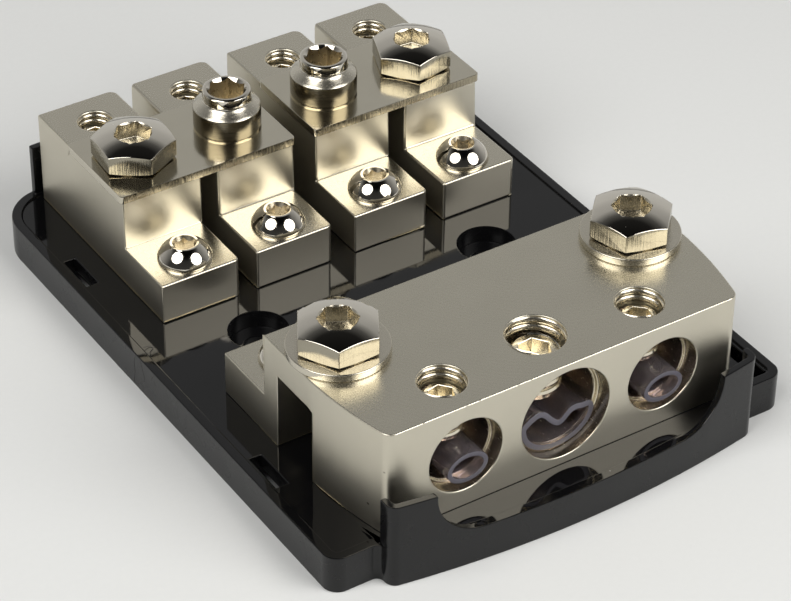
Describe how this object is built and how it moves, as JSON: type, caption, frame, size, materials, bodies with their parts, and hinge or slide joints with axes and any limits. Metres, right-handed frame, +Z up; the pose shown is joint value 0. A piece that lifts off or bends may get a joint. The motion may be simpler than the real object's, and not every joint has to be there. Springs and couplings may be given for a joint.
{
  "type": "anl fuse holder",
  "caption": "Fuse distribution block: a long input block and stepped output blocks of plated metal, with clamp screws and fuse bolts, on a black moulded tray.",
  "frame": {"origin": "middle of the tray's underside", "axes": "+X along the rows of blocks, +Y from the input block to the output blocks, +Z up"},
  "size_m": [0.0892, 0.12, 0.033],
  "materials": {
    "tray_plastic": "glossy black moulding",
    "satin_nickel": "satin nickel plating over milled brass",
    "polished_nickel": "polished nickel plating",
    "bright_screw": "bright nickel-plated fastener",
    "dark_screw": "nickel-plated threaded screw",
    "clear_tube": "translucent clear plastic tube"
  },
  "bodies": {
    "base": {"base_tray": "tray_plastic", "input_block": "satin_nickel", "output_block_1": "satin_nickel", "output_block_2": "satin_nickel", "output_block_3": "satin_nickel", "output_block_4": "satin_nickel", "bridge_plate_left": "polished_nickel", "bridge_plate_right": "polished_nickel", "input_washer_left": "bright_screw", "input_washer_right": "bright_screw", "bridge_bolt_left": "bright_screw", "bridge_bolt_right": "bright_screw", "input_base_screw_left": "bright_screw", "input_base_screw_right": "bright_screw", "output_base_screw_1": "bright_screw", "output_base_screw_2": "bright_screw", "output_base_screw_3": "bright_screw", "output_base_screw_4": "bright_screw", "port_tube_left": "clear_tube", "port_tube_middle": "clear_tube", "port_tube_right": "clear_tube"},
    "input_fuse_bolt_left": {"input_fuse_bolt_left": "bright_screw"},
    "output_fuse_bolt_left": {"output_fuse_bolt_left": "bright_screw"},
    "input_fuse_bolt_right": {"input_fuse_bolt_right": "bright_screw"},
    "output_fuse_bolt_right": {"output_fuse_bolt_right": "bright_screw"},
    "input_set_screw_left": {"input_set_screw_left": "dark_screw"},
    "input_set_screw_middle": {"input_set_screw_middle": "dark_screw"},
    "input_set_screw_right": {"input_set_screw_right": "dark_screw"},
    "output_set_screw_1": {"output_set_screw_1": "dark_screw"},
    "output_set_screw_2": {"output_set_screw_2": "dark_screw"},
    "output_set_screw_3": {"output_set_screw_3": "dark_screw"},
    "output_set_screw_4": {"output_set_screw_4": "dark_screw"}
  },
  "joints": [
    {"name": "input_fuse_bolt_left_lift", "type": "slide", "parent": "base", "child": "input_fuse_bolt_left", "axis": [0, 0, 1], "range_m": [0, 0.01]},
    {"name": "output_fuse_bolt_left_lift", "type": "slide", "parent": "base", "child": "output_fuse_bolt_left", "axis": [0, 0, 1], "range_m": [0, 0.01]},
    {"name": "input_fuse_bolt_right_lift", "type": "slide", "parent": "base", "child": "input_fuse_bolt_right", "axis": [0, 0, 1], "range_m": [0, 0.01]},
    {"name": "output_fuse_bolt_right_lift", "type": "slide", "parent": "base", "child": "output_fuse_bolt_right", "axis": [0, 0, 1], "range_m": [0, 0.01]},
    {"name": "input_set_screw_left_lift", "type": "slide", "parent": "base", "child": "input_set_screw_left", "axis": [0, 0, 1], "range_m": [0, 0.009]},
    {"name": "input_set_screw_middle_lift", "type": "slide", "parent": "base", "child": "input_set_screw_middle", "axis": [0, 0, 1], "range_m": [0, 0.009]},
    {"name": "input_set_screw_right_lift", "type": "slide", "parent": "base", "child": "input_set_screw_right", "axis": [0, 0, 1], "range_m": [0, 0.009]},
    {"name": "output_set_screw_1_lift", "type": "slide", "parent": "base", "child": "output_set_screw_1", "axis": [0, 0, 1], "range_m": [-0.004, 0.006]},
    {"name": "output_set_screw_2_lift", "type": "slide", "parent": "base", "child": "output_set_screw_2", "axis": [0, 0, 1], "range_m": [-0.004, 0.006]},
    {"name": "output_set_screw_3_lift", "type": "slide", "parent": "base", "child": "output_set_screw_3", "axis": [0, 0, 1], "range_m": [-0.004, 0.006]},
    {"name": "output_set_screw_4_lift", "type": "slide", "parent": "base", "child": "output_set_screw_4", "axis": [0, 0, 1], "range_m": [-0.004, 0.006]}
  ]
}
